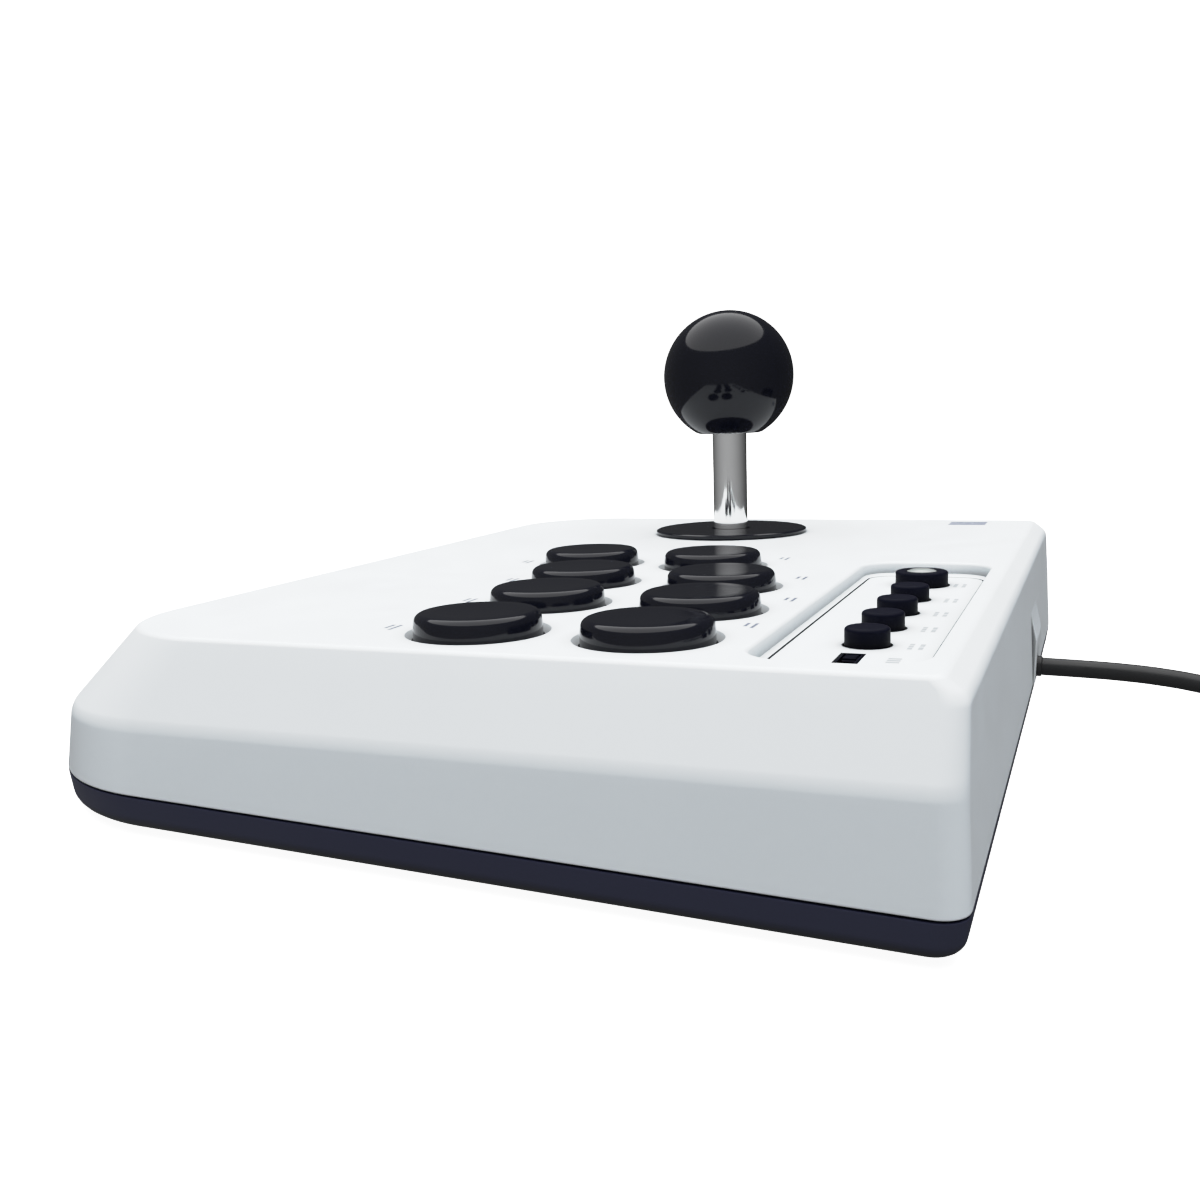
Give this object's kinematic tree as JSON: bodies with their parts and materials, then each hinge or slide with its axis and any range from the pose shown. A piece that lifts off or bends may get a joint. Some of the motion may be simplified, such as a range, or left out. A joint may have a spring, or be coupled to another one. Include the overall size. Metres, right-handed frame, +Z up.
{
  "type": "arcade joystick panel",
  "caption": "Desktop arcade joystick panel with a ball-top lever, round push buttons, a recessed strip of option buttons and a USB cable wound in a coil.",
  "frame": {"origin": "on the table under the middle of the case's outline", "axes": "+X to the player's right, +Y away from the player towards the cable, +Z up"},
  "size_m": [0.216, 0.2764, 0.0925],
  "materials": {
    "shell_white": "fine satin moulded ABS, white",
    "shell_dark": "fine satin moulded ABS, blue-black",
    "button_black": "high gloss moulded plastic, black",
    "inner_black": "satin moulded plastic, black",
    "silicone": "matte silicone, pale grey",
    "board": "solder-masked circuit board, green",
    "lens": "polished translucent plastic, pale grey",
    "chrome": "polished chrome plate",
    "steel": "zinc-plated steel",
    "foot_rubber": "matte rubber, black",
    "cable_jacket": "smooth flexible PVC, black",
    "plug_metal": "stamped nickel-plated steel"
  },
  "bodies": {
    "case": {"top_shell": "shell_white", "control_plate": "shell_white", "bottom_shell": "shell_dark", "button_collar_1": "inner_black", "button_collar_2": "inner_black", "button_collar_3": "inner_black", "button_collar_4": "inner_black", "button_collar_5": "inner_black", "button_collar_6": "inner_black", "button_collar_7": "inner_black", "button_collar_8": "inner_black", "slide_switch_body": "inner_black", "stick_base": "inner_black", "restrictor_gate": "inner_black", "tact_switch_1": "inner_black", "tact_switch_2": "inner_black", "tact_switch_3": "inner_black", "tact_switch_4": "inner_black", "button_mat": "silicone", "main_board": "board", "case_screw_1": "steel", "case_screw_2": "steel", "case_screw_3": "steel", "case_screw_4": "steel", "foot_1": "foot_rubber", "foot_2": "foot_rubber", "foot_3": "foot_rubber", "foot_4": "foot_rubber", "cable_grommet": "cable_jacket", "cord_run": "cable_jacket", "cord_lead": "cable_jacket", "cord_coil": "cable_jacket", "cord_tie": "cable_jacket", "usb_plug": "cable_jacket", "usb_shell": "plug_metal"},
    "button_1": {"button_cap_1": "button_black"},
    "button_2": {"button_cap_2": "button_black"},
    "button_3": {"button_cap_3": "button_black"},
    "button_4": {"button_cap_4": "button_black"},
    "button_5": {"button_cap_5": "button_black"},
    "button_6": {"button_cap_6": "button_black"},
    "button_7": {"button_cap_7": "button_black"},
    "button_8": {"button_cap_8": "button_black"},
    "option_1": {"option_button_1": "inner_black"},
    "option_2": {"option_button_2": "inner_black"},
    "option_3": {"option_button_3": "inner_black"},
    "option_4": {"option_button_4": "inner_black"},
    "home": {"home_button": "inner_black", "home_lens": "lens"},
    "slider_knob": {"slide_switch_knob": "inner_black"},
    "gimbal": {"gimbal_ring": "inner_black"},
    "stick": {"ball_top": "button_black", "stick_shaft": "chrome", "stick_hub": "inner_black", "stick_spring": "steel", "stick_actuator": "inner_black", "retaining_clip": "steel"},
    "carrier": {"washer_carrier": "inner_black"},
    "washer": {"dust_washer": "button_black"}
  },
  "joints": [
    {"name": "press_button_1", "type": "slide", "parent": "case", "child": "button_1", "axis": [0, 0.035, -0.9994], "range_m": [0, 0.0022], "stiffness_N_per_m": 300, "springref_m": -0.0008},
    {"name": "press_button_2", "type": "slide", "parent": "case", "child": "button_2", "axis": [0, 0.035, -0.9994], "range_m": [0, 0.0022], "stiffness_N_per_m": 300, "springref_m": -0.0008},
    {"name": "press_button_3", "type": "slide", "parent": "case", "child": "button_3", "axis": [0, 0.035, -0.9994], "range_m": [0, 0.0022], "stiffness_N_per_m": 300, "springref_m": -0.0008},
    {"name": "press_button_4", "type": "slide", "parent": "case", "child": "button_4", "axis": [0, 0.035, -0.9994], "range_m": [0, 0.0022], "stiffness_N_per_m": 300, "springref_m": -0.0008},
    {"name": "press_button_5", "type": "slide", "parent": "case", "child": "button_5", "axis": [0, 0.035, -0.9994], "range_m": [0, 0.0022], "stiffness_N_per_m": 300, "springref_m": -0.0008},
    {"name": "press_button_6", "type": "slide", "parent": "case", "child": "button_6", "axis": [0, 0.035, -0.9994], "range_m": [0, 0.0022], "stiffness_N_per_m": 300, "springref_m": -0.0008},
    {"name": "press_button_7", "type": "slide", "parent": "case", "child": "button_7", "axis": [0, 0.035, -0.9994], "range_m": [0, 0.0022], "stiffness_N_per_m": 300, "springref_m": -0.0008},
    {"name": "press_button_8", "type": "slide", "parent": "case", "child": "button_8", "axis": [0, 0.035, -0.9994], "range_m": [0, 0.0022], "stiffness_N_per_m": 300, "springref_m": -0.0008},
    {"name": "press_option_1", "type": "slide", "parent": "case", "child": "option_1", "axis": [0, 0.035, -0.9994], "range_m": [0, 0.0008], "stiffness_N_per_m": 600, "springref_m": -0.0005},
    {"name": "press_option_2", "type": "slide", "parent": "case", "child": "option_2", "axis": [0, 0.035, -0.9994], "range_m": [0, 0.0008], "stiffness_N_per_m": 600, "springref_m": -0.0005},
    {"name": "press_option_3", "type": "slide", "parent": "case", "child": "option_3", "axis": [0, 0.035, -0.9994], "range_m": [0, 0.0008], "stiffness_N_per_m": 600, "springref_m": -0.0005},
    {"name": "press_option_4", "type": "slide", "parent": "case", "child": "option_4", "axis": [0, 0.035, -0.9994], "range_m": [0, 0.0008], "stiffness_N_per_m": 600, "springref_m": -0.0005},
    {"name": "press_home", "type": "slide", "parent": "case", "child": "home", "axis": [0, 0.035, -0.9994], "range_m": [0, 0.0008], "stiffness_N_per_m": 600, "springref_m": -0.0005},
    {"name": "slide_mode", "type": "slide", "parent": "case", "child": "slider_knob", "axis": [1, 0, 0], "range_m": [0, 0.0032]},
    {"name": "stick_tilt_x", "type": "hinge", "parent": "case", "child": "gimbal", "pos_m": [-0.0628, 0.00079, 0.02019], "axis": [1, 0, 0], "range_deg": [-10, 10], "stiffness_Nm_per_rad": 0.4},
    {"name": "stick_tilt_y", "type": "hinge", "parent": "gimbal", "child": "stick", "pos_m": [-0.0628, 0.00079, 0.02019], "axis": [0, 0.9994, 0.035], "range_deg": [-10, 10], "stiffness_Nm_per_rad": 0.4},
    {"name": "washer_slide_y", "type": "slide", "parent": "case", "child": "carrier", "axis": [0, 0.9994, 0.035], "range_m": [-0.0027, 0.0027]},
    {"name": "washer_slide_x", "type": "slide", "parent": "carrier", "child": "washer", "axis": [1, 0, 0], "range_m": [-0.0027, 0.0027]}
  ],
  "couplings": [
    {"joint": "washer_slide_y", "follows": "stick_tilt_x", "m_per_rad": -0.0148},
    {"joint": "washer_slide_x", "follows": "stick_tilt_y", "m_per_rad": 0.0148}
  ]
}
